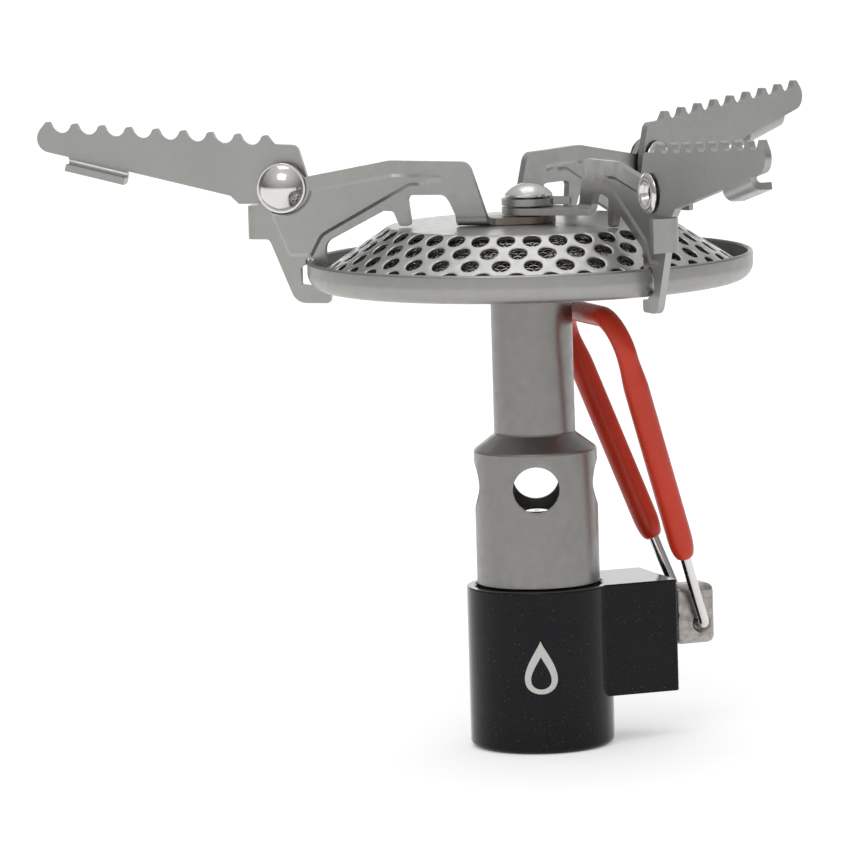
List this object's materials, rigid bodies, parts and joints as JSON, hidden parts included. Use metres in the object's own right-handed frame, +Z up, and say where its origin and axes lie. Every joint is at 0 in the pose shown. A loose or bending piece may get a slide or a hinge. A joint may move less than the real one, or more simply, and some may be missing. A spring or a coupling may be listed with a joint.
{
  "type": "canister stove",
  "caption": "Upright canister stove: perforated burner on a mixing tube, side valve with folding wire handle, and hinged serrated pot supports.",
  "frame": {"origin": "centre of the valve body's underside, where the canister screws in", "axes": "+Z up along the mixing tube, +X outward along the valve spindle"},
  "size_m": [0.1177, 0.1071, 0.0877],
  "materials": {
    "black_anodised": "fine satin black with small specks",
    "black_rubber": "matte",
    "brass": "machined",
    "sintered_bronze": "rough",
    "satin_alloy": "satin",
    "cap_alloy": "satin",
    "arm_sheet": "fine satin",
    "screen_wire": "woven",
    "polished_steel": "polished",
    "machined_steel": "raw machined",
    "red_vinyl": "glossy"
  },
  "bodies": {
    "stove_body": {"valve_body": "black_anodised", "canister_seal": "black_rubber", "valve_pin": "brass", "gas_filter": "sintered_bronze", "jet_holder": "brass", "jet": "brass", "gland_nut": "black_anodised", "spindle_seal": "black_rubber", "mixing_tube": "satin_alloy", "burner_post": "satin_alloy", "burner_bowl": "satin_alloy", "bowl_nut": "satin_alloy", "flame_screen": "screen_wire", "burner_cap": "cap_alloy", "centre_screw": "polished_steel", "fixed_arm": "arm_sheet", "fixed_rivet": "polished_steel"},
    "spindle": {"needle_spindle": "machined_steel", "valve_head": "machined_steel"},
    "handle": {"handle_wire": "polished_steel", "handle_sleeve": "red_vinyl"},
    "front_support": {"front_arm": "arm_sheet", "front_rivet": "polished_steel"},
    "back_support": {"back_arm": "arm_sheet", "back_rivet": "polished_steel"},
    "fixed_pot_blade": {"fixed_blade": "arm_sheet"},
    "front_pot_blade": {"front_blade": "arm_sheet"},
    "back_pot_blade": {"back_blade": "arm_sheet"}
  },
  "joints": [
    {"name": "valve_turn", "type": "hinge", "parent": "stove_body", "child": "spindle", "pos_m": [0, 0, 0.0166], "axis": [1, 0, 0], "range_deg": [0, 540]},
    {"name": "handle_fold", "type": "hinge", "parent": "spindle", "child": "handle", "pos_m": [0.0234, 0, 0.0153], "axis": [0, 1, 0], "range_deg": [0, 109]},
    {"name": "front_swivel", "type": "hinge", "parent": "stove_body", "child": "front_support", "pos_m": [0, 0, 0.07443], "axis": [0, 0, 1], "range_deg": [-40, 10]},
    {"name": "back_swivel", "type": "hinge", "parent": "stove_body", "child": "back_support", "pos_m": [0, 0, 0.07562], "axis": [0, 0, 1], "range_deg": [-10, 29]},
    {"name": "fixed_blade_fold", "type": "hinge", "parent": "stove_body", "child": "fixed_pot_blade", "pos_m": [-0.03052, 0.01436, 0.07865], "axis": [0.5476, 0.8368, 0], "range_deg": [0, 160]},
    {"name": "front_blade_fold", "type": "hinge", "parent": "front_support", "child": "front_pot_blade", "pos_m": [0.00609, -0.03317, 0.07865], "axis": [-0.9991, -0.0419, 0], "range_deg": [0, 160]},
    {"name": "back_blade_fold", "type": "hinge", "parent": "back_support", "child": "back_pot_blade", "pos_m": [0.02643, 0.02096, 0.07865], "axis": [0.506, -0.8625, 0], "range_deg": [0, 160]}
  ]
}
